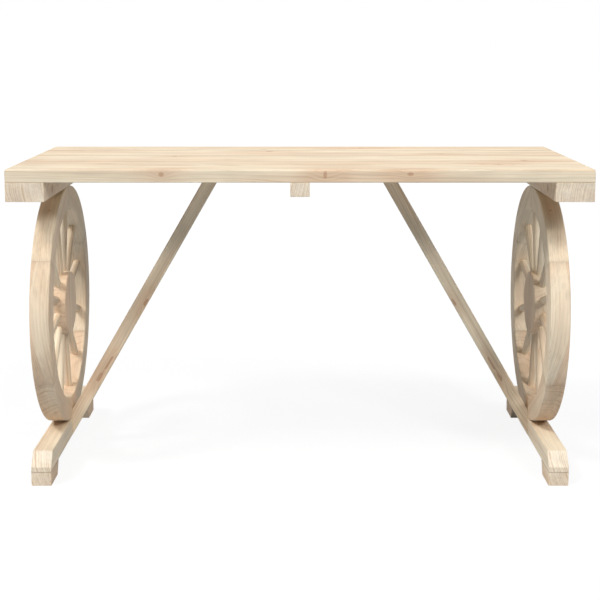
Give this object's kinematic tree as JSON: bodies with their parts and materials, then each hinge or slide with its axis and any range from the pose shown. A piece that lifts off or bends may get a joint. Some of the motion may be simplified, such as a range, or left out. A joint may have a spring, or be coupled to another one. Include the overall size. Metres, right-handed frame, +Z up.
{
  "type": "wagon wheel table",
  "caption": "Long plank-topped wooden table carried on spoked wagon wheels, each fixed between an end rail and a footed beam, with slanting braces.",
  "frame": {"origin": "on the floor, under the middle of the table top", "axes": "+Z up, +X along the table to its right-hand end, +Y from the front edge to the rear edge"},
  "size_m": [1.15, 0.55, 0.638],
  "materials": {
    "top_wood": "planed bare pine boards with fine lengthwise grain and a few knots",
    "frame_wood": "planed bare pine, eased edges",
    "wheel_wood": "sanded bare pine, grain following each segment",
    "screw_steel": "zinc plated wood screws"
  },
  "bodies": {
    "root": {"batten_screws": "screw_steel", "brace_left": "frame_wood", "brace_right": "frame_wood", "brace_screws": "screw_steel", "centre_batten": "frame_wood", "end_rail_left": "frame_wood", "end_rail_right": "frame_wood", "felloe_1_left": "wheel_wood", "felloe_1_right": "wheel_wood", "felloe_2_left": "wheel_wood", "felloe_2_right": "wheel_wood", "felloe_3_left": "wheel_wood", "felloe_3_right": "wheel_wood", "felloe_4_left": "wheel_wood", "felloe_4_right": "wheel_wood", "felloe_5_left": "wheel_wood", "felloe_5_right": "wheel_wood", "felloe_6_left": "wheel_wood", "felloe_6_right": "wheel_wood", "felloe_pins": "wheel_wood", "foot_beam_left": "frame_wood", "foot_beam_right": "frame_wood", "foot_pad_front_left": "frame_wood", "foot_pad_front_right": "frame_wood", "foot_pad_rear_left": "frame_wood", "foot_pad_rear_right": "frame_wood", "hub_left": "wheel_wood", "hub_right": "wheel_wood", "pad_screws": "screw_steel", "rail_screws": "screw_steel", "spoke_10_left": "wheel_wood", "spoke_10_right": "wheel_wood", "spoke_11_left": "wheel_wood", "spoke_11_right": "wheel_wood", "spoke_12_left": "wheel_wood", "spoke_12_right": "wheel_wood", "spoke_1_left": "wheel_wood", "spoke_1_right": "wheel_wood", "spoke_2_left": "wheel_wood", "spoke_2_right": "wheel_wood", "spoke_3_left": "wheel_wood", "spoke_3_right": "wheel_wood", "spoke_4_left": "wheel_wood", "spoke_4_right": "wheel_wood", "spoke_5_left": "wheel_wood", "spoke_5_right": "wheel_wood", "spoke_6_left": "wheel_wood", "spoke_6_right": "wheel_wood", "spoke_7_left": "wheel_wood", "spoke_7_right": "wheel_wood", "spoke_8_left": "wheel_wood", "spoke_8_right": "wheel_wood", "spoke_9_left": "wheel_wood", "spoke_9_right": "wheel_wood", "top_board_front": "top_wood", "top_board_mid_front": "top_wood", "top_board_mid_rear": "top_wood", "top_board_rear": "top_wood", "wheel_screws": "screw_steel"}
  },
  "joints": []
}
